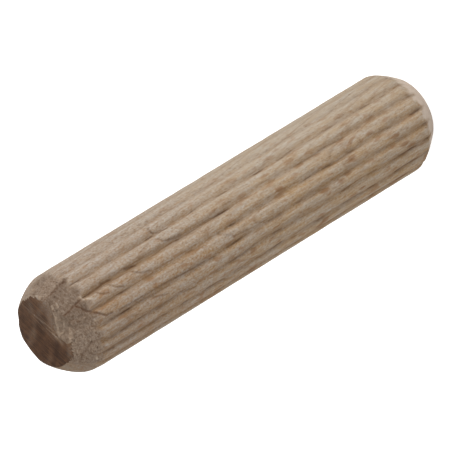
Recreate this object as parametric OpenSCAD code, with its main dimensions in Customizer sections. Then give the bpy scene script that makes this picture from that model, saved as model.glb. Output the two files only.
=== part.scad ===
// Fluted dowel pin, one piece of beech.
// A length of hardwood rod is pressed through a fluting die, cut off and turned to a
// crowned chamfer at both ends. It stands on its bottom end: the grain runs along +Z,
// and the origin is the middle of the bottom end face. All sizes are in millimetres.

/* [Pin] */
// Length over both end faces
pin_length = 40; // [20:1:60]
// Diameter over the crests of the flutes
crest_d = 8.3; // [6.5:0.1:12]

/* [Flutes] */
// Number of straight flutes around the barrel
flute_count = 20; // [10:1:24]
// Depth of each flute below the crests
flute_depth = 0.2; // [0.15:0.05:0.45]
// Radius of the rounded floor of each flute
flute_floor_r = 0.18; // [0.12:0.01:0.2]
// Radius that eases the shoulders of each crest
crest_shoulder_r = 0.15; // [0.12:0.01:0.2]
// Angle of the first flute from +X, in degrees
first_flute_angle = 13.5; // [0:0.5:17.5]

/* [Top end] */
// Diameter of the flat end face left by the top chamfer
top_face_d = 5.8; // [3:0.1:5.8]
// Length of the top chamfer along the pin
top_chamfer_len = 2.25; // [1:0.05:3.5]
// Radius of the crown turned on the top chamfer
top_crown_r = 5.5; // [4:0.5:20]

/* [Bottom end] */
// Diameter of the flat end face that the pin stands on
bottom_face_d = 6.0; // [3:0.1:6]
// Length of the bottom chamfer along the pin
bottom_chamfer_len = 2.0; // [1:0.05:3.5]
// Radius of the crown turned on the bottom chamfer
bottom_crown_r = 11; // [4:0.5:20]

/* [Chip in the top rim] */
// Direction from the axis to the inner edge of the chip, in degrees from +X
chip_angle = -116; // [-180:1:180]
// Distance from the axis to the inner edge of the chip
chip_inset = 1.35; // [1:0.05:2.5]
// Length of the inner edge, from the step at its end to the rim
chip_length = 3.2; // [1:0.1:4]
// Slope of the chip's floor below the end face, in degrees
chip_slope = 14; // [8:1:35]

/* [Hidden] */
$fn = 96;
crest_r = crest_d / 2;
flute_pitch = 360 / flute_count;
// Reach of a cutter past the surface that it cuts
overcut = 1;
// How far arcs and flats that meet at an edge run past each other there
edge_overlap = 0.003;
// A floor arc, two shoulder arcs and the crest circle make up a flute. The centre of the
// floor, the centre of a shoulder and the pin's axis form a triangle.
floor_centre_r = crest_r - flute_depth + flute_floor_r;
shoulder_centre_r = crest_r - crest_shoulder_r + edge_overlap;
arc_centres = flute_floor_r + crest_shoulder_r - edge_overlap;
half_flute_angle = acos((pow(floor_centre_r, 2) + pow(shoulder_centre_r, 2) - pow(arc_centres, 2))
    / (2 * floor_centre_r * shoulder_centre_r));

function polar(r, angle) = [r * cos(angle), r * sin(angle)];

// What one flute takes off the cross-section of the rod, opening towards +X
module flute_section() {
    difference() {
        polygon([
            [floor_centre_r, 0],
            polar(shoulder_centre_r, -half_flute_angle),
            polar(crest_r + overcut, -half_flute_angle),
            polar(crest_r + overcut, half_flute_angle),
            polar(shoulder_centre_r, half_flute_angle)
        ]);
        for (side = [-1, 1])
            translate(polar(shoulder_centre_r, side * half_flute_angle))
                circle(r = crest_shoulder_r, $fn = 32);
    }
    translate([floor_centre_r, 0])
        circle(r = flute_floor_r, $fn = 32);
}

module flutes() {
    for (i = [0 : flute_count - 1])
        rotate(first_flute_angle + i * flute_pitch)
            translate([0, 0, -overcut])
                linear_extrude(height = pin_length + 2 * overcut)
                    flute_section();
}

// What a crowned chamfer takes off the corner of the pin's outline at Y = 0. The crown
// is an arc from the rim of the end face to the start of the barrel.
module chamfer_cut(face_r, chamfer_len, crown_r) {
    run = crest_r - face_r;
    chord = norm([run, chamfer_len]);
    chord_middle = [face_r + run / 2, chamfer_len / 2];
    inward = [-chamfer_len, run] / chord;
    crown_centre = chord_middle + inward * sqrt(pow(crown_r, 2) - pow(chord / 2, 2));
    difference() {
        translate([face_r - edge_overlap, -overcut])
            square([run + edge_overlap + overcut, chamfer_len + edge_overlap + overcut]);
        translate(crown_centre)
            circle(r = crown_r, $fn = 180);
    }
}

// The rod cut to length with both ends turned, before it has flutes
module blank() {
    rotate_extrude()
        difference() {
            square([crest_r, pin_length]);
            chamfer_cut(bottom_face_d / 2, bottom_chamfer_len, bottom_crown_r);
            translate([0, pin_length])
                mirror([0, 1])
                    chamfer_cut(top_face_d / 2, top_chamfer_len, top_crown_r);
        }
}

// What the chip takes off the top rim: a flat floor that falls outwards from the inner
// edge, with a step at one end where the wood broke along the grain
module rim_chip() {
    rotate(chip_angle)
        translate([chip_inset, 0, pin_length])
            rotate([0, chip_slope, 0])
                translate([-overcut, 0, 0])
                    cube([crest_d, chip_length, top_chamfer_len]);
}

module dowel_pin() {
    color("tan")
        difference() {
            blank();
            flutes();
            rim_chip();
        }
}

dowel_pin();
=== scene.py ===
from math import atan2, cos, degrees, exp, hypot, pi, radians, sin

import bpy
from mathutils import Matrix, Vector, noise


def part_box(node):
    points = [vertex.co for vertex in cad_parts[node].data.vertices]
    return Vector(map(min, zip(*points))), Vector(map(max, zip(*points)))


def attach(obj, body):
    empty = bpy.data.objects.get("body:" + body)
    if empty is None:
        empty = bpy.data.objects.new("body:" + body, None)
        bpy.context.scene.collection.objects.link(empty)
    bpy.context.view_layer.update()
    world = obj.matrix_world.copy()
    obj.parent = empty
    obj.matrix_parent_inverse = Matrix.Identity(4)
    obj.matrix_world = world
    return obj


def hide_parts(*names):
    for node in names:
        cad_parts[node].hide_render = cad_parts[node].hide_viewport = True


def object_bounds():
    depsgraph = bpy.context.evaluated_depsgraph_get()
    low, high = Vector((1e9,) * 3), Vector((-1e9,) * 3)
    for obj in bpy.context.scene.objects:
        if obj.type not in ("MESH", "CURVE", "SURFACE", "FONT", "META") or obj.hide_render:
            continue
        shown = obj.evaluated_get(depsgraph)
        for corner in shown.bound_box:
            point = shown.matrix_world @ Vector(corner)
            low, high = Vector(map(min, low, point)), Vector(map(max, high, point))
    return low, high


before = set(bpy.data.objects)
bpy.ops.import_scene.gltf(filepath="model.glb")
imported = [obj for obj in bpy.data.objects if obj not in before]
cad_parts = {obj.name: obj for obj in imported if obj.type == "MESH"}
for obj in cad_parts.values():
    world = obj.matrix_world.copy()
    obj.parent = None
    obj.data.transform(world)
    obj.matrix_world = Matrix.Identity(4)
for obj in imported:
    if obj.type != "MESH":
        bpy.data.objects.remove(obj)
cad_low, cad_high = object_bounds()
cad_middle = (cad_low + cad_high) / 2
scene = bpy.context.scene
scene.view_settings.view_transform = "Standard"

# --- Camera ---
# A long lens looks down on the pin from the front. It is rolled, so that the standing
# pin lies across the picture with its chipped top end nearest.
camera_elevation = radians(36.2)
camera_roll = radians(-121.5)
camera_distance = 0.561
camera_lens = 588
camera_sensor = 36
camera_aim_right = -0.3475e-3
camera_aim_up = -0.185e-3
camera_near = 0.01
camera_far = 10

camera_tilt = Matrix.Rotation(radians(90) - camera_elevation, 3, "X")
camera_turn = camera_tilt @ Matrix.Rotation(camera_roll, 3, "Z")
camera_aim = cad_middle + camera_turn @ Vector((camera_aim_right, camera_aim_up, 0))
camera_place = camera_aim + camera_turn @ Vector((0, 0, camera_distance))
bpy.ops.object.camera_add(location=camera_place, rotation=camera_turn.to_euler())
camera = bpy.context.object
camera.data.lens = camera_lens
camera.data.sensor_width = camera_sensor
camera.data.clip_start = camera_near
camera.data.clip_end = camera_far
scene.camera = camera

# --- Fluted pin ---
# One length of beech rod, 8 mm nominal. It is pressed through a die that leaves twenty
# straight flutes, cut off, and turned to a crowned chamfer at both ends.

# In this section lengths are in millimetres, and turns are in degrees round from +X.
mm_per_metre = 1000
pin_low, pin_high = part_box("dowel_pin")
pin_length = (pin_high.z - pin_low.z) * mm_per_metre
crest_r = (pin_high.x - pin_low.x) * mm_per_metre / 2
bottom_face_r = 3.0
bottom_chamfer = 2.0
bottom_bulge = 0.07
top_face_r = 2.9
top_chamfer = 2.25
top_bulge = 0.15

# The outline runs from the middle of the bottom end to the middle of the top end, as
# (out, up, number of short steps). It is turned all the way round. The steps are
# shortest in the creased wood below the top chamfer, on the chamfer and on the top face.
creased_length = 11.5
straight_length = pin_length - bottom_chamfer - top_chamfer - creased_length
runs = [(bottom_face_r, 0, 10),
        (crest_r - bottom_face_r, bottom_chamfer, 24),
        (0, straight_length, 88),
        (0, creased_length, 70),
        (top_face_r - crest_r, top_chamfer, 40),
        (-top_face_r, 0, 60)]
turned_steps = 340
weld_gap = 5e-7

bpy.ops.object.select_all(action="DESELECT")
bpy.ops.mesh.primitive_plane_add(size=0.001, location=(0, 0, 0))
pin = bpy.context.object
pin.name = "fluted_pin"
bpy.ops.object.mode_set(mode="EDIT")
bpy.ops.mesh.select_all(action="SELECT")
bpy.ops.mesh.merge(type="CENTER")
for out, up, steps in runs:
    move = (out / steps / mm_per_metre, 0, up / steps / mm_per_metre)
    for step in range(steps):
        bpy.ops.mesh.extrude_vertices_move(TRANSFORM_OT_translate={"value": move})
bpy.ops.object.mode_set(mode="OBJECT")
bpy.ops.object.modifier_add(type="SCREW")
lathe = pin.modifiers[0]
lathe.axis = "Z"
lathe.angle = 2 * pi
lathe.steps = turned_steps
lathe.render_steps = turned_steps
bpy.ops.object.modifier_apply(modifier=lathe.name)
bpy.ops.object.mode_set(mode="EDIT")
bpy.ops.mesh.select_all(action="SELECT")
bpy.ops.mesh.remove_doubles(threshold=weld_gap)
bpy.ops.mesh.normals_make_consistent(inside=False)
bpy.ops.object.mode_set(mode="OBJECT")


# Climbs softly from 0 at low to 1 at high; low may be the larger.
def ease(low, high, value):
    share = min(max((value - low) / (high - low), 0), 1)
    return share * share * (3 - 2 * share)


# Is 1 at the middle and fades to nothing two widths away.
def peak(value, middle, width):
    return exp(-((value - middle) / width) ** 2)


# Reads a list of (place, value) at one place.
def along(table, place):
    for (start, first), (end, second) in zip(table, table[1:]):
        if place <= end:
            return first + (second - first) * ease(start, end, place)
    return table[-1][1]


# Uneven wood, from about -1 to 1, in patches of one size across the grain and one length
# along it. Each seed gives other patches.
def rough(x, y, z, size, length, seed=0):
    return noise.noise(Vector((x / size + seed * 17.3, y / size - seed * 5.1, z / length + seed * 9.7)))


# How far a point lies from a line through some points.
def gap(points, x, y):
    nearest = pin_length
    for (x1, y1), (x2, y2) in zip(points, points[1:]):
        run_x, run_y = x2 - x1, y2 - y1
        share = ((x - x1) * run_x + (y - y1) * run_y) / (run_x ** 2 + run_y ** 2)
        share = min(max(share, 0), 1)
        nearest = min(nearest, hypot(x - x1 - share * run_x, y - y1 - share * run_y))
    return nearest


# The smaller of two radii, with the corner between them rounded off.
def blend(a, b, width):
    return min(a, b) - max(0, 1 - abs(a - b) / width) ** 2 * width / 4


# The flutes. Each leans: its floor lies to one side, with a steep wall there and an easy
# slope on the other. They wander from their even places: by number round from +X, how
# far back each lies near the top and near the bottom, and its share of depth near the
# top. Noise that reads (flute * number, number, z) runs along one flute.
flute_count = 20
flute_pitch = 360 / flute_count
first_flute = 13.5
flute_depth = 0.17
flute_lean = 1.5
flute_wall = 5.5
flute_slope = 8
crack_depth = 0.08
fibre_depth = 0.02
wander = {11: (-0.6, 0, 0.75), 12: (1.2, -1.2, 0.6), 13: (2.3, 0, 1), 14: (0.8, 0.3, 1),
          15: (0.8, -0.4, 1.6), 16: (-0.8, -0.2, 1.15)}


def flutes_at(x, y, z, angle):
    turns = round((angle - first_flute) / flute_pitch)
    flute = turns % flute_count
    upper = ease(20, 27, z)
    near_top, near_bottom, share_of_depth = wander.get(flute, (0, 0, 1))
    deep = 1 + (share_of_depth - 1) * upper * ease(41, 33, z)
    middle = angle - first_flute - flute_pitch * turns
    middle += near_bottom + (near_top - near_bottom) * upper
    middle += 0.7 * rough(flute * 3.7, 0, z, 1, 11) + 0.35 * rough(flute * 3.7, 2, z, 1, 2.1)
    spread = 1 + 0.15 * rough(flute * 2.9, 4, z, 1, 5) + 0.12 * rough(x, y, z, 0.5, 0.9)
    spread *= 1 - 0.45 * ease(2.4, 1.1, z)
    away = (middle - flute_lean) / spread
    hollow = 0.5 + 0.5 * cos(pi * min(1, abs(away) / (flute_wall if away < 0 else flute_slope)))

    # the side toward the lamp, which its light washes out, gets shallow flutes with faint cracks and
    # little painted shade, and two narrow strips are made faint as well
    soft = 0.92 * ease(-57, -34, angle) * ease(15, -10, angle)
    soft = max(soft, peak(angle, -4, 8), peak(abs(angle), 177, 6))
    run_out = 1 - ease(-80, -60, angle) * ease(2.6, 1.3, z)
    depth = flute_depth * (1 + 0.5 * rough(flute * 4.1, 7, z, 1, 7)) * (1 - 0.8 * soft)
    depth += 0.1 * ease(3, 1, z) * ease(-45, -80, angle)
    depth *= run_out * deep

    # painted shade with some dust lies in the hollows, most near the top, away from the lamp
    # and along one flute, and the steep walls' edges get a painted highlight
    shadow_side = peak(angle, -140, 18) * ease(28, 35, z)
    shade_and_dust = hollow * deep * (1 - 0.6 * soft) * (1 + 0.6 * peak(angle, -85, 20) * ease(26, 33, z))
    shade_and_dust = max(shade_and_dust * (1 + 0.6 * shadow_side), (0.4 + 0.35 * ease(26, 33, z)) * peak(angle, -75.5, 4.5))
    # a painted highlight along the steep wall's edge
    edge_highlight_and_curl = peak(away, -flute_wall, 1.1) * (0.6 + 0.8 * rough(flute * 4.7, 17, z, 1, 2.5))
    edge_highlight_and_curl *= ease(1.5, 2.5, z)

    # broad and fine cracks follow the floors, and a row of short ones a faint flute
    seam = middle - flute_lean
    seam -= 1.2 * rough(flute * 5.3, 9, z, 1, 2.5) + 0.5 * rough(flute * 5.3, 11, z, 1, 0.7)
    broad = ease(-0.1, 0.35, rough(flute * 6.1, 13, z, 1, 3)) * (1 - 0.8 * soft)
    fine = ease(0.12, 0.4, rough(flute * 6.1, 15, z, 1, 1.5)) * (1 - 0.9 * soft)
    crack = 0.42 * peak(seam, 0, 1.4142) * broad + 0.58 * peak(seam, 0, 0.7746) * fine
    crack *= run_out * ease(1, 3, z)
    # painted shade in the deep flute ends near the bottom and in the hollows away from the lamp
    crack += 0.35 * hollow ** 2 * peak(z, 1.7, 0.4) * ease(-15, -40, angle)
    crack += 0.2 * shadow_side * hollow ** 2
    short = ease(0.05, 0.4, rough(x + z / 3, y, z, 0.22, 0.5, 21))
    crack += (0.2 + 0.15 * ease(18, 28, z)) * peak(angle, -35, 6) * short

    fibre = rough(x, y, z, 0.22, 1.6) + 0.5 * rough(x, y, z, 0.1, 0.5)
    fluted_r = crest_r - depth * hollow - crack_depth * crack - fibre_depth * max(0, fibre + 0.3)
    return fluted_r, hollow, shade_and_dust, edge_highlight_and_curl, crack


# Lines in the wood round the top end: (turn, height) of their points, and how dark each is
creases = [
    # cracks and steps in the torn chamfer, dark partly as cracks and partly as painted shadow below each
    # step
    ([(-47, 37.7), (-46, 38.9), (-46, 39.4), (-42, 39.9)], 0.7),
    ([(-76.5, 38.2), (-77.3, 38.7), (-79, 39.2), (-80, 39.8)], 0.9),
    ([(-160, 39.35), (-144, 39.35), (-137, 39.05), (-130, 38.85), (-127, 38.5), (-126.5, 38)], 0.5),
    ([(-146, 38.7), (-140, 39)], 0.4),
    # a growth ring that has split, from the chamfer down along a crest
    ([(-79, 38.75), (-90, 38.35), (-96, 37.9), (-101, 37.5), (-105, 37.1), (-106.2, 36.5)], 1),
    ([(-107.5, 35.8), (-108.5, 34), (-109.5, 30.5), (-112, 28.3), (-112.5, 26.5)], 0.6),
    # fibres that curl up across the crests
    ([(-78, 36.85), (-82, 36.7), (-84.5, 36.4), (-86, 36)], 0.65),
    ([(-78.5, 35.5), (-82, 35.35), (-86, 35), (-89, 34.4)], 0.7),
    ([(-79, 33.05), (-83, 32.9), (-87, 32.3), (-89, 31.6)], 0.75),
    ([(-45.5, 28.9), (-49, 29.15), (-53, 29.05), (-56.5, 28.5), (-58, 27.7)], 0.75),
    ([(-65, 29.2), (-70, 28.9), (-73, 27.8), (-73.5, 27.2)], 0.65),
    ([(-93, 24.4), (-97, 24.1), (-101, 23.6), (-105, 23.2), (-106, 21.8)], 0.6),
    ([(-115.5, 32.4), (-118, 31.8), (-121, 31)], 0.5),
    ([(-129, 29.6), (-131.5, 28.8), (-133.5, 28)], 0.5),
    ([(-144, 32.3), (-145, 31.6), (-147, 31)], 0.6),
    # tears along the flutes
    ([(-76.5, 37.8), (-76, 36.2), (-74, 35.8)], 0.75),
    ([(-73, 35.9), (-74, 35.4), (-75, 34.9)], 1),
    ([(-73.5, 33.4), (-74.5, 32.9), (-76, 32.3)], 1),
    ([(-94.5, 37.5), (-94, 35.7)], 0.5),
    ([(-59, 37.4), (-58.5, 35.6)], 0.4),
    ([(-114, 37.4), (-112.5, 36)], 0.5),
    ([(-131, 37.5), (-132, 36.6)], 0.5),
    ([(-146.5, 37.9), (-148, 36.7)], 0.9)]
# Pale fibres that stand up at the chamfer's lower edge and at its rim, and how pale each is
curls = [
    ([(-58, 37.6), (-57.2, 37.45)], 1),
    ([(-74, 38.1), (-76, 38.12), (-78, 38.02)], 1),
    ([(-79.5, 37.8), (-81, 37.72), (-82, 37.6)], 1),
    ([(-80, 35.9), (-81.5, 35.85)], 0.9),
    ([(-103, 38.15), (-105.5, 38.08)], 0.8),
    ([(-127, 37.4), (-129.5, 37.3)], 0.8),
    ([(-154, 38.33), (-151, 38.38)], 1),
    ([(-17, 39.85), (-10, 39.8)], 0.8),
    ([(-34, 39.8), (-28, 39.85), (-24, 39.8)], 0.9),
    ([(-66, 39.66), (-60, 39.6)], 0.7)]
line_r = 3.8
line_width = 0.08
lowest_line = 21


# The wood rolled out flat, so that a turn becomes a length round the pin.
def rolled_out(lines):
    return [([(radians(turn) * line_r, height) for turn, height in points], strength)
            for points, strength in lines]


flat_creases = rolled_out(creases)
flat_curls = rolled_out(curls)


def line_at(flat_lines, x, y, z, angle):
    strongest = 0
    waver = 0.04 * rough(x, y, z, 0.2, 0.2)
    for points, strength in flat_lines:
        away = gap(points, radians(angle) * line_r, z)
        strongest = max(strongest, strength * peak(away + waver, 0, line_width))
    return strongest


# The rim of the top face is not round: (turn, radius)
top_rim = [(-180, 2.58), (-170, 2.6), (-159, 2.76), (-151, 2.86), (-142, 2.76), (-133, 2.68),
           (-123, 2.76), (-100, 2.72), (-80, 2.82), (-61, 3.06), (-51, 3.16), (-37, 3.04),
           (-22, 2.98), (-8, 3.11), (8, 3.08), (21, 3.05), (47, 2.86), (72, 2.9), (98, 2.76),
           (122, 2.78), (144, 2.69), (161, 2.64), (180, 2.58)]
# How much painted shade darkens the torn grain of the top chamfer, where its steps turn from the lamp:
# (turn, share)
torn_shade = [(-180, 0.4), (-150, 0.12), (-128, -0.1), (-110, 0.18), (-100, 0.34), (-79, 0.5),
              (-76, 0.34), (-60, 0.4), (-49, 0.52), (-44, 0.22), (-30, 0.26), (-16, 0.42),
              (-9, 0.36), (180, 0.3)]
# Marks on the burnished top face: x and y of both ends, width, and how pale each is
pale_marks = [
    # scratches with a painted highlight along them
    ((1.75, -0.12), (0.9, -0.58), 0.05, 0.38), ((0.4, -0.56), (-0.65, -1.15), 0.06, 0.36),
    ((0.85, -0.72), (-0.35, -1.36), 0.05, 0.3), ((2.9, 0.5), (1.75, -0.12), 0.06, 0.14),
    ((2.2, 0.3), (-0.2, -0.5), 0.04, 0.15), ((0.9, 0.1), (-0.9, -0.75), 0.04, 0.12),
    # rubbed places
    ((0.1, 2.4), (0.6, 1.2), 0.3, 0.14), ((0.6, 1.2), (1.5, 0), 0.25, 0.07),
    ((1.6, -0.6), (2.1, -2.1), 0.25, 0.12), ((-1.9, 1.9), (-1.7, 0.9), 0.25, 0.1),
    ((-2.4, -1.2), (-1.5, -2.1), 0.3, 0.24), ((-1.1, -1.3), (-0.2, -1.0), 0.22, 0.3),
    ((-0.9, -1.1), (0.9, -0.6), 0.35, 0.12), ((2.6, -0.4), (2.2, -0.2), 0.3, 0.12)]
# Stains and scored lines there, and how dark each is
dark_marks = [
    ((-2.2, 1.1), (-1, -0.8), 0.32, 0.6), ((0.1, 0.7), (0.6, 0.2), 0.35, 0.5),
    ((-1, 1.8), (-0.5, 1), 0.3, 0.4), ((1.2, 1.3), (2.0, 1.5), 0.35, 0.45),
    ((1.0, -0.2), (-0.45, -0.9), 0.07, 0.55), ((0.95, -0.44), (0.0, -0.93), 0.05, 0.5),
    ((1.2, -2.5), (1.28, -2.5), 0.07, 0.9)]

# The chip out of the rim: which way it lies, how far out it starts and how it falls, the
# line of its one end as (distance out, distance to the side), and the torn fibres that
# stand up in it as x and y of their points, and their width
chip_angle = radians(-116)
chip_inset = 1.35
chip_step = 0.04
chip_fall = 0.25
chip_side = [(1.3, 0.25), (1.56, -0.1), (2, -0.3), (2.2, -0.45), (2.5, -0.36), (2.8, -0.22)]
chip_ridges = [([(1.65, -2.6), (1.2, -2.45), (0.6, -2.12), (0.15, -1.83), (-0.55, -1.45)], 0.13),
               ([(-0.55, -1.45), (-0.5, -2), (0, -2.5)], 0.07),
               ([(-0.61, -2.65), (-1.62, -2.24)], 0.14)]
ridge_height = 0.07


def chip_at(x, y):
    out = x * cos(chip_angle) + y * sin(chip_angle)
    side = y * cos(chip_angle) - x * sin(chip_angle)
    out -= 0.12 * rough(side, 0, 0, 0.5, 1, 3) - 0.1 * ease(0, 0.9, side) + 0.2 * ease(0.9, 2.1, side)
    inside = out > chip_inset and side > along(chip_side, out)
    fall = (chip_step + chip_fall * (out - chip_inset)) * ease(-0.4, 0.7, side)
    fall += 0.06 * rough(x, y, 0, 0.25, 1, 5)
    pale = 0.25 * peak(out - chip_inset, 0.4, 0.3) * ease(-0.5, 0.2, side)
    waver = 0.05 * rough(x, y, 0, 0.15, 1, 23)
    for points, width in chip_ridges:
        pale = max(pale, peak(gap(points, x + waver, y), 0, width))
    fall -= ridge_height * pale
    stain = ease(0.9, 0, chip_inset - out) * ease(0, 1, side)
    brown = ease(0.6, 1.8, side) * ease(0.5, 0, out - chip_inset) * (1 - pale)
    return inside, pin_length - max(fall, 0), pale, stain, brown


# Every point of the turned pin is moved to where the worn wood lies. What the material
# needs to know is kept with it: painted shade with some dust in the hollows, painted
# highlights on edges with pale curled fibres, cracks, burnishing, torn end grain, painted
# shade on the torn grain and in the chip, smooth turning, and the chip.
nearly_on = 0.001
chip_shade = 0.45
smooth_below = radians(50)
worn = {"hollow": [], "edge_highlight_and_curl": [], "crack": [], "burnish": [], "torn": [], "torn_and_chip_shade": [],
        "turned": [], "chip": []}
mesh = pin.data
for vertex in mesh.vertices:
    x, y, z = vertex.co * mm_per_metre
    r = hypot(x, y)
    angle = degrees(atan2(y, x))
    fluted_r, hollow, shade_and_dust, edge_highlight_and_curl, crack = flutes_at(x, y, z, angle)
    burnish = torn = torn_and_chip_shade = turned = chip = crease = curl = 0
    if z > lowest_line and angle < 0:
        crease = line_at(flat_creases, x, y, z, angle)
        crease *= 0.85 + 0.4 * rough(x, y, z, 0.4, 0.4, 14)
        curl = line_at(flat_curls, x, y, z, angle)
        fluted_r -= 0.03 * crease
        edge_highlight_and_curl = max(edge_highlight_and_curl, 2.5 * curl)
    top_share = (z - pin_length + top_chamfer) / top_chamfer
    bottom_share = 1 - z / (bottom_chamfer - 0.25 * peak(angle, 0, 50))
    bottom_rim = 2.96 + 0.14 * cos(radians(angle + 20))
    rim_x, rim_y = cos(radians(angle)), sin(radians(angle))
    rim = along(top_rim, angle) if r > nearly_on else top_face_r
    rim += 0.04 * rough(rim_x, rim_y, 0, 0.25, 1, 6)
    frayed = 0.3 * ease(-178, -165, angle) * ease(20, -5, angle) * rough(rim_x, rim_y, 0, 0.055, 1, 22)

    if z > pin_length - nearly_on:
        # the top face: sawn, then burnished, with the chip out of its rim
        share = r / top_face_r
        scale = 1 + ((rim + frayed) / top_face_r - 1) * share
        x, y = x * scale, y * scale
        saw_mark = 0.5 + 0.5 * rough(x * 0.9 + y * 0.42, y * 0.9 - x * 0.42, 0, 0.4, 1, 8)
        z = pin_length - 0.012 * saw_mark - 0.05 * ease(0.93, 1, share)
        inside, chip_floor, pale, stain, brown = chip_at(x, y)
        burnish = 1 - 0.32 * stain - 0.04 * ease(0, 2.5, x)
        burnish -= 0.1 * ease(-0.9, -1.6, y) * ease(0.2, 1.2, x)
        for start, end, width, strength in pale_marks:
            burnish -= strength * peak(gap([start, end], x, y), 0, width)
        crack = 0
        for start, end, width, strength in dark_marks:
            crack = max(crack, strength * peak(gap([start, end], x, y), 0, width))
        shade_and_dust = 0
        if inside:
            z = min(z, chip_floor)
            burnish = 0.45 * brown
            chip = 1
            # painted shade in the chip's hollow, but not on its raised fibres
            torn_and_chip_shade = chip_shade * (1 - pale)
    elif z < nearly_on:
        # the bottom face: plainly sawn
        share = r / bottom_face_r
        scale = 1 + (bottom_rim / bottom_face_r - 1) * share
        x, y = x * scale, y * scale
        saw_mark = 0.5 + 0.5 * rough(x, y, 0, 0.5, 1, 2)
        z = 0.03 * saw_mark * ease(0, 0.2, 1 - share) + 0.03 * ease(0.94, 1, share)
        shade_and_dust = 0
    elif top_share > -0.5:
        # the top chamfer and the wood just below it: torn end grain, ragged on one side,
        # with a flatter facet and the near end of the chip
        run = rim + (crest_r - rim) * (1 - top_share) + top_bulge * 4 * top_share * (1 - top_share)
        run += frayed * ease(0.85, 1, top_share)
        facet = ease(-79.5, -76.5, angle) * (1 - ease(-48, -45, angle))
        ragged = ease(-175, -150, angle) * ease(0, -22, angle + 14 * rough(x, y, z, 0.5, 0.6, 18))
        run -= 0.1 * facet * ease(0, 0.2, top_share) + 0.08 * crease - 0.05 * curl
        lumps = 0.6 * rough(x, y, z, 0.35, 0.45, 9) + 0.6 * rough(x, y, z, 0.13, 0.16, 10)
        run -= (0.02 + 0.06 * ragged) * (0.5 + lumps) * ease(0, 0.15, top_share)
        torn = ease(-0.1, 0.2, fluted_r - run + 0.12 * rough(x, y, z, 0.25, 0.7, 12))
        torn *= (0.35 + 0.65 * ragged) * (1 - curl)
        # painted shade on the torn grain, deepest on the steps turned from the lamp
        torn_and_chip_shade = max(0, torn * along(torn_shade, angle))
        shade_and_dust *= 1 - torn
        edge_highlight_and_curl = max(edge_highlight_and_curl * (1 - torn), 2.5 * curl)
        crack = max(crack * (1 - torn), crease)
        r_new = blend(run, fluted_r, 0.1 + 0.22 * peak(abs(angle), 177, 25))
        x, y = x * r_new / r, y * r_new / r
        inside, chip_floor, pale, stain, brown = chip_at(x, y)
        if inside and chip_floor < z:
            z = chip_floor
            chip = 1
            # painted shade in the chip's hollow, but not on its raised fibres
            torn_and_chip_shade = chip_shade * (1 - pale)
    elif bottom_share > -0.3:
        # the bottom chamfer: cleanly turned, so the flutes end in it in scallops
        run = bottom_rim + (crest_r - bottom_rim) * (1 - bottom_share)
        run += bottom_bulge * 4 * bottom_share * (1 - bottom_share)
        run -= 0.01 * (0.5 + 0.5 * rough(x, y, z, 0.4, 0.3, 9))
        turned = ease(-0.02, 0.5, fluted_r - run + 0.3 * rough(x, y, z, 0.3, 1.2, 16))
        # painted lighter round toward -115 degrees, where the lamp leaves the chamfer in shade
        turned *= (0.56 + 0.44 * cos(radians(angle + 115))) * (1 - 0.6 * hollow * ease(0.6, 1.4, z))
        shade_and_dust *= ease(0.5, 1.4, z) * (1 - turned)
        crack *= ease(0.8, 1.8, z)
        r_new = blend(run, fluted_r, 0.1)
        x, y = x * r_new / r, y * r_new / r
    else:
        # the fluted barrel
        x, y = x * fluted_r / r, y * fluted_r / r
        crack = max(crack, crease)

    if r <= crest_r - 0.5:
        edge_highlight_and_curl = 0
    vertex.co = Vector((x, y, min(max(z, 0), pin_length))) / mm_per_metre
    for name, value in zip(worn, (shade_and_dust, edge_highlight_and_curl, crack, burnish, torn, torn_and_chip_shade, turned, chip)):
        worn[name].append(value)
for name, values in worn.items():
    mesh.attributes.new(name, "FLOAT", "POINT").data.foreach_set("value", values)

bpy.ops.object.shade_smooth_by_angle(angle=smooth_below)

# Raw beech, cut along the grain and pressed in the die: straw brown, with darker
# growth-ring lines, brown ray flecks, short pores and fine fibres. It is dry and
# unfinished, so it hardly shines.
ring_tilt = radians(9.5)
ring_turn = radians(190)
scratch_turn = radians(155)


def linear(hex_colour):
    channels = [int(hex_colour[i:i + 2], 16) / 255 for i in (1, 3, 5)]
    light = [c / 12.92 if c <= 0.04045 else ((c + 0.055) / 1.055) ** 2.4 for c in channels]
    return (*light, 1)


# A colour Mix takes the share at socket 0 and the two colours at 6 and 7, and gives the
# mixed colour at 2.
def add_node(tree, kind, inputs=None, **settings):
    node = tree.nodes.new("ShaderNode" + kind)
    for name, value in settings.items():
        setattr(node, name, value)
    for socket, value in (inputs or {}).items():
        if isinstance(value, bpy.types.NodeSocket):
            tree.links.new(value, node.inputs[socket])
        else:
            node.inputs[socket].default_value = value
    return node.outputs


beech = bpy.data.materials.new("beech_fluted_raw")
beech.use_nodes = True
tree = beech.node_tree
shader = tree.nodes["Principled BSDF"]
# where a point of the wood lies, in metres from the middle of the bottom end
place = add_node(tree, "TexCoord")["Object"]
place_parts = add_node(tree, "SeparateXYZ", {0: place})
to_side = place_parts["X"]
height = place_parts["Z"]
# the same in millimetres, turned so that the growth layers face the right way
grain = add_node(tree, "Mapping", {
    "Vector": place, "Rotation": (0, 0, ring_turn), "Scale": (mm_per_metre,) * 3})[0]
wear = {name: add_node(tree, "Attribute", attribute_name=name)["Fac"] for name in worn}

# broken bands of tan and grey-tan, 0.5 mm wide
stretched = add_node(tree, "VectorMath", {
    0: grain, 1: (1 / 0.5, 1 / 0.5, 1 / 2.2)}, operation="MULTIPLY")[0]
bands = add_node(tree, "TexNoise", {"Vector": stretched, "Scale": 1, "Detail": 3})["Fac"]
bands = add_node(tree, "MapRange", {"Value": bands, "From Min": 0.35, "From Max": 0.65})[0]
colour = add_node(tree, "Mix", {
    0: bands, 6: linear("#A1917E"), 7: linear("#9F8565")}, data_type="RGBA")[2]

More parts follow.
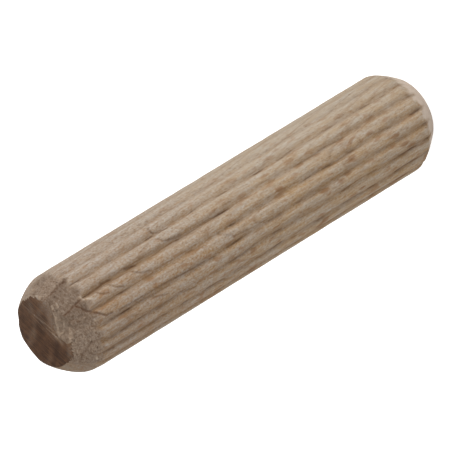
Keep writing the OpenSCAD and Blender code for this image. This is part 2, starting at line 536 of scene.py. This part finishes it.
# the +X side, toward the lamp, is painted grey as a sheen of its light, and near the top the painted
# sheen lies under the fibres
lamp_sheen = add_node(tree, "MapRange", {
    "Value": to_side, "From Min": -0.0005, "From Max": 0.0036, "To Max": 0.5})[0]
under = add_node(tree, "MapRange", {"Value": height, "From Min": 0.018, "From Max": 0.028})[0]
under = add_node(tree, "Math", {0: lamp_sheen, 1: under}, operation="MULTIPLY")[0]
colour = add_node(tree, "Mix", {0: under, 6: colour, 7: linear("#999286")}, data_type="RGBA")[2]

# pale and dark fibres 0.13 mm wide
stretched = add_node(tree, "VectorMath", {
    0: grain, 1: (1 / 0.13, 1 / 0.13, 1 / 1.3)}, operation="MULTIPLY")[0]
fibres = add_node(tree, "TexNoise", {
    "Vector": stretched, "Scale": 1, "Detail": 4, "Roughness": 0.65})["Fac"]
fibre_light = add_node(tree, "MapRange", {
    "Value": fibres, "From Min": 0.5, "From Max": 0.75, "To Max": 0.47})[0]
fibre_dark = add_node(tree, "MapRange", {
    "Value": fibres, "From Min": 0.5, "From Max": 0.25, "To Max": 0.42})[0]
colour = add_node(tree, "Mix", {0: fibre_light, 6: colour, 7: linear("#B7B0A9")}, data_type="RGBA")[2]
colour = add_node(tree, "Mix", {0: fibre_dark, 6: colour, 7: linear("#79542B")}, data_type="RGBA")[2]

# the cut ends of fine rays: brown ticks 0.2 mm long in pale grey wood, plainest near the top
tick_share = add_node(tree, "MapRange", {
    "Value": height, "From Min": 0.014, "From Max": 0.028, "To Min": 0.3, "To Max": 0.57})[0]
stretched = add_node(tree, "VectorMath", {
    0: grain, 1: (1 / 0.13, 1 / 0.13, 1 / 0.2)}, operation="MULTIPLY")[0]
ticks = add_node(tree, "TexNoise", {"Vector": stretched, "Scale": 1, "Detail": 2})["Fac"]
tick_dark = add_node(tree, "MapRange", {
    "Value": ticks, "From Min": 0.52, "From Max": 0.7, "To Max": tick_share})[0]
tick_light = add_node(tree, "MapRange", {
    "Value": ticks, "From Min": 0.48, "From Max": 0.3, "To Max": tick_share})[0]
colour = add_node(tree, "Mix", {0: tick_dark, 6: colour, 7: linear("#825C31")}, data_type="RGBA")[2]
colour = add_node(tree, "Mix", {0: tick_light, 6: colour, 7: linear("#B2ABA3")}, data_type="RGBA")[2]

# lower down the painted sheen lies over them and hides some, and the top has aged a little darker
over = add_node(tree, "MapRange", {
    "Value": height, "From Min": 0.018, "From Max": 0.028, "To Min": 1, "To Max": 0.3})[0]
over = add_node(tree, "Math", {0: lamp_sheen, 1: over}, operation="MULTIPLY")[0]
colour = add_node(tree, "Mix", {0: over, 6: colour, 7: linear("#999286")}, data_type="RGBA")[2]
ageing = add_node(tree, "MapRange", {
    "Value": height, "From Min": 0.018, "From Max": 0.036, "To Max": 0.24})[0]
colour = add_node(tree, "Mix", {0: ageing, 6: colour, 7: linear("#6D5A57")}, data_type="RGBA")[2]

# growth layers, tilted to the axis, so they show as crescents in front and as fine
# lines along the sides
layers = add_node(tree, "VectorMath", {
    0: grain, 1: (0, cos(ring_tilt), -sin(ring_tilt))}, operation="DOT_PRODUCT")["Value"]
grain_parts = add_node(tree, "SeparateXYZ", {0: grain})
layers = add_node(tree, "CombineXYZ", {"X": grain_parts["X"], "Y": layers, "Z": grain_parts["Z"]})[0]
stretched = add_node(tree, "VectorMath", {
    0: layers, 1: (1 / 3, 1 / 0.2, 1 / 12)}, operation="MULTIPLY")[0]
rings = add_node(tree, "TexNoise", {"Vector": stretched, "Scale": 1, "Detail": 2})["Fac"]
rings = add_node(tree, "MapRange", {
    "Value": rings, "From Min": 0.55, "From Max": 0.72, "To Max": 0.4})[0]
colour = add_node(tree, "Mix", {0: rings, 6: colour, 7: linear("#775C43")}, data_type="RGBA")[2]

# ray flecks, about 0.5 mm across and 1.2 mm along the grain, fainter under the painted sheen
stretched = add_node(tree, "VectorMath", {
    0: grain, 1: (1 / 0.45, 1 / 0.7, 1 / 1.2)}, operation="MULTIPLY")[0]
flecks = add_node(tree, "TexNoise", {
    "Vector": stretched, "Scale": 1, "Detail": 1.5, "Roughness": 0.4})["Fac"]
fleck_most = add_node(tree, "MapRange", {
    "Value": lamp_sheen, "From Max": 0.5, "To Min": 0.65, "To Max": 0.25})[0]
flecks = add_node(tree, "MapRange", {
    "Value": flecks, "From Min": 0.6, "From Max": 0.7, "To Max": fleck_most})[0]
colour = add_node(tree, "Mix", {0: flecks, 6: colour, 7: linear("#876648")}, data_type="RGBA")[2]

# broad flecks, brown and lens-shaped, in the lower part of the pin
stretched = add_node(tree, "VectorMath", {
    0: grain, 1: (1 / 0.85, 1 / 0.85, 1 / 2)}, operation="MULTIPLY")[0]
lenses = add_node(tree, "TexVoronoi", {"Vector": stretched, "Scale": 1})["Distance"]
lenses = add_node(tree, "Math", {0: bands, 1: -0.1, 2: lenses}, operation="MULTIPLY_ADD")[0]
lenses = add_node(tree, "Math", {0: fibres, 1: 0.3, 2: lenses}, operation="MULTIPLY_ADD")[0]
lenses = add_node(tree, "MapRange", {"Value": lenses, "From Min": 0.39, "From Max": 0.25})[0]
# fainter under the painted sheen
lens_most = add_node(tree, "MapRange", {
    "Value": lamp_sheen, "From Max": 0.5, "To Min": 0.72, "To Max": 0.25})[0]
lens_share = add_node(tree, "MapRange", {"Value": height, "From Min": 0.029, "From Max": 0.021})[0]
lenses = add_node(tree, "Math", {0: lenses, 1: lens_share}, operation="MULTIPLY")[0]
lenses = add_node(tree, "Math", {0: lenses, 1: lens_most}, operation="MULTIPLY")[0]
colour = add_node(tree, "Mix", {0: lenses, 6: colour, 7: linear("#7C5B3F")}, data_type="RGBA")[2]

# pores, short dark strokes 0.1 mm wide and 0.3 mm long
stretched = add_node(tree, "VectorMath", {
    0: grain, 1: (1 / 0.2, 1 / 0.2, 1 / 0.6)}, operation="MULTIPLY")[0]
pores = add_node(tree, "TexVoronoi", {"Vector": stretched, "Scale": 1})["Distance"]
pores = add_node(tree, "MapRange", {
    "Value": pores, "From Min": 0.3, "From Max": 0.1, "To Max": 0.35})[0]
colour = add_node(tree, "Mix", {0: pores, 6: colour, 7: linear("#60432A")}, data_type="RGBA")[2]

# the floors of the flutes are darkened by painted shade with some brown dust, between dark threads of
# grain 0.11 mm wide
floor_shade_and_dust = add_node(tree, "Math", {0: wear["hollow"], 1: 0.35}, operation="MULTIPLY")[0]
colour = add_node(tree, "Mix", {0: floor_shade_and_dust, 6: colour, 7: linear("#7B6349")}, data_type="RGBA")[2]
stretched = add_node(tree, "VectorMath", {
    0: grain, 1: (1 / 0.11, 1 / 0.11, 1 / 2.5)}, operation="MULTIPLY")[0]
threads = add_node(tree, "TexNoise", {
    "Vector": stretched, "Scale": 1, "Detail": 3, "Roughness": 0.6})["Fac"]
threads = add_node(tree, "MapRange", {
    "Value": threads, "From Min": 0.5, "From Max": 0.7, "To Max": 0.5})[0]
threads = add_node(tree, "Math", {0: threads, 1: wear["hollow"]}, operation="MULTIPLY")[0]
colour = add_node(tree, "Mix", {0: threads, 6: colour, 7: linear("#64462B")}, data_type="RGBA")[2]

# the flutes' steep walls get a painted highlight along their edges, and the curled fibres are pale
highlight_and_curl_share = add_node(tree, "Math", {0: wear["edge_highlight_and_curl"], 1: 0.18}, operation="MULTIPLY")[0]
colour = add_node(tree, "Mix", {0: highlight_and_curl_share, 6: colour, 7: linear("#BFB2A3")}, data_type="RGBA")[2]

# the turned bottom chamfer is smooth and pale, and painted paler round toward -115 degrees, where the
# lamp leaves it in shade
turned_share = add_node(tree, "Math", {0: wear["turned"], 1: 0.75}, operation="MULTIPLY")[0]
colour = add_node(tree, "Mix", {0: turned_share, 6: colour, 7: linear("#CBBDB0")}, data_type="RGBA")[2]

# the top chamfer is torn end grain, grey-brown in patches of 0.2 mm, with a few open
# vessels; the chip is the same wood, fresher and paler, and painted shade darkens both
stretched = add_node(tree, "VectorMath", {
    0: grain, 1: (1 / 0.22, 1 / 0.22, 1 / 0.13)}, operation="MULTIPLY")[0]
torn_patch = add_node(tree, "TexNoise", {
    "Vector": stretched, "Scale": 1, "Detail": 4, "Roughness": 0.7})["Fac"]
torn_patch = add_node(tree, "MapRange", {"Value": torn_patch, "From Min": 0.36, "From Max": 0.64})[0]
torn_colour = add_node(tree, "Mix", {
    0: torn_patch, 6: linear("#655141"), 7: linear("#988777")}, data_type="RGBA")[2]
vessels = add_node(tree, "TexVoronoi", {"Vector": grain, "Scale": 1.9})["Distance"]
vessels = add_node(tree, "MapRange", {
    "Value": vessels, "From Min": 0.2, "From Max": 0.1, "To Max": 0.75})[0]
torn_colour = add_node(tree, "Mix", {
    0: vessels, 6: torn_colour, 7: linear("#3A2A20")}, data_type="RGBA")[2]
torn_share = add_node(tree, "Math", {0: wear["torn"], 1: 0.85}, operation="MULTIPLY")[0]
colour = add_node(tree, "Mix", {0: torn_share, 6: colour, 7: torn_colour}, data_type="RGBA")[2]
chip_colour = add_node(tree, "Mix", {
    0: torn_patch, 6: linear("#7B6857"), 7: linear("#A08E7C")}, data_type="RGBA")[2]
chip_share = add_node(tree, "Math", {0: wear["chip"], 1: 0.85}, operation="MULTIPLY")[0]
colour = add_node(tree, "Mix", {0: chip_share, 6: colour, 7: chip_colour}, data_type="RGBA")[2]
# painted shade on the torn grain and in the chip
colour = add_node(tree, "Mix", {0: wear["torn_and_chip_shade"], 6: colour, 7: linear("#3D2A1C")}, data_type="RGBA")[2]

# cracks and creases are dark lines
crack_share = add_node(tree, "Math", {0: wear["crack"], 1: 0.85}, operation="MULTIPLY")[0]
colour = add_node(tree, "Mix", {0: crack_share, 6: colour, 7: linear("#4C3220")}, data_type="RGBA")[2]

# the top face is burnished dark, with scratches across it 0.1 mm apart and stains about
# 0.8 mm wide
scratched = add_node(tree, "Mapping", {
    "Vector": place, "Rotation": (0, 0, scratch_turn), "Scale": (mm_per_metre,) * 3})[0]
stretched = add_node(tree, "VectorMath", {
    0: scratched, 1: (1 / 3, 1 / 0.08, 0)}, operation="MULTIPLY")[0]
scratches = add_node(tree, "TexNoise", {
    "Vector": stretched, "Scale": 1, "Detail": 4, "Roughness": 0.6})["Fac"]
scratches = add_node(tree, "MapRange", {"Value": scratches, "From Min": 0.42, "From Max": 0.64})[0]
burnished = add_node(tree, "Mix", {
    0: scratches, 6: linear("#39281F"), 7: linear("#5B412D")}, data_type="RGBA")[2]
stained = add_node(tree, "TexNoise", {
    "Vector": grain, "Scale": 1.3, "Detail": 3, "Roughness": 0.55})["Fac"]
stained = add_node(tree, "MapRange", {
    "Value": stained, "From Min": 0.42, "From Max": 0.65, "To Max": 0.45})[0]
burnished = add_node(tree, "Mix", {0: stained, 6: burnished, 7: linear("#674934")}, data_type="RGBA")[2]
darkened = add_node(tree, "Math", {0: wear["crack"], 1: 0.8}, operation="MULTIPLY")[0]
burnished = add_node(tree, "Mix", {0: darkened, 6: burnished, 7: linear("#2F2018")}, data_type="RGBA")[2]
colour = add_node(tree, "Mix", {0: wear["burnish"], 6: colour, 7: burnished}, data_type="RGBA")[2]
tree.links.new(colour, shader.inputs["Base Color"])

# dry wood is dull, and the burnished end a little less so; fibres stand up and pores sink
roughness = add_node(tree, "MapRange", {"Value": wear["burnish"], "To Min": 0.85, "To Max": 0.8})[0]
tree.links.new(roughness, shader.inputs["Roughness"])
relief = add_node(tree, "Math", {0: pores, 1: -0.6, 2: fibres}, operation="MULTIPLY_ADD")[0]
bump = add_node(tree, "Bump", {"Height": relief, "Strength": 0.6, "Distance": 0.00006})[0]
tree.links.new(bump, shader.inputs["Normal"])
shader.inputs["IOR"].default_value = 1.5
shader.inputs["Specular IOR Level"].default_value = 0.12
mesh.materials.append(beech)

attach(pin, "root")
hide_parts("dowel_pin")

# --- Studio ---
# A pale floor and a white surround. One wide lamp to the right of the pin gives the
# soft side light, and the world fills the rest.
floor_size = 2
floor_glow = 0.75
lamp_way = Vector((0.82, -0.49, 0.295)).normalized()
lamp_distance = 0.5
lamp_size = 0.35
lamp_power = 1.7
fill_light = 0.87


# Is 1 where the background itself is seen, straight or by reflection, and 0 where it
# only lights the pin.
def seen_itself(tree):
    rays = add_node(tree, "LightPath")
    seen = add_node(tree, "Math", {
        0: rays["Is Camera Ray"], 1: rays["Is Glossy Ray"]}, operation="MAXIMUM")[0]
    return add_node(tree, "Math", {0: seen, 1: rays["Is Transmission Ray"]}, operation="MAXIMUM")[0]


bpy.ops.mesh.primitive_plane_add(size=floor_size, location=(0, 0, pin_low.z))
floor = bpy.context.object
floor.name = "floor"

# Matt pale board, which takes the pin's shadow. It glows faintly where it is seen, so it
# looks as white as the surround.
board = bpy.data.materials.new("pale_matt_floor")
board.use_nodes = True
tree = board.node_tree
matt = add_node(tree, "BsdfDiffuse", {"Color": linear("#E8E8E8")})[0]
glow = add_node(tree, "Emission", {"Color": linear("#FFFFFF"), "Strength": floor_glow})[0]
lit = add_node(tree, "AddShader", {0: matt, 1: glow})[0]
surface = add_node(tree, "MixShader", {0: seen_itself(tree), 1: matt, 2: lit})[0]
tree.links.new(surface, tree.nodes["Material Output"].inputs["Surface"])
floor.data.materials.append(board)

world = bpy.data.worlds.new("studio")
scene.world = world
world.use_nodes = True
tree = world.node_tree
strength = add_node(tree, "MapRange", {"Value": seen_itself(tree), "To Min": fill_light, "To Max": 1})[0]
background = tree.nodes["Background"]
background.inputs["Color"].default_value = linear("#FFFFFF")
tree.links.new(strength, background.inputs["Strength"])

lamp_place = cad_middle + lamp_way * lamp_distance
lamp_turn = lamp_way.to_track_quat("Z", "Y").to_euler()
bpy.ops.object.light_add(type="AREA", location=lamp_place, rotation=lamp_turn)
lamp = bpy.context.object
lamp.data.shape = "DISK"
lamp.data.size = lamp_size
lamp.data.energy = lamp_power
lamp.visible_camera = False
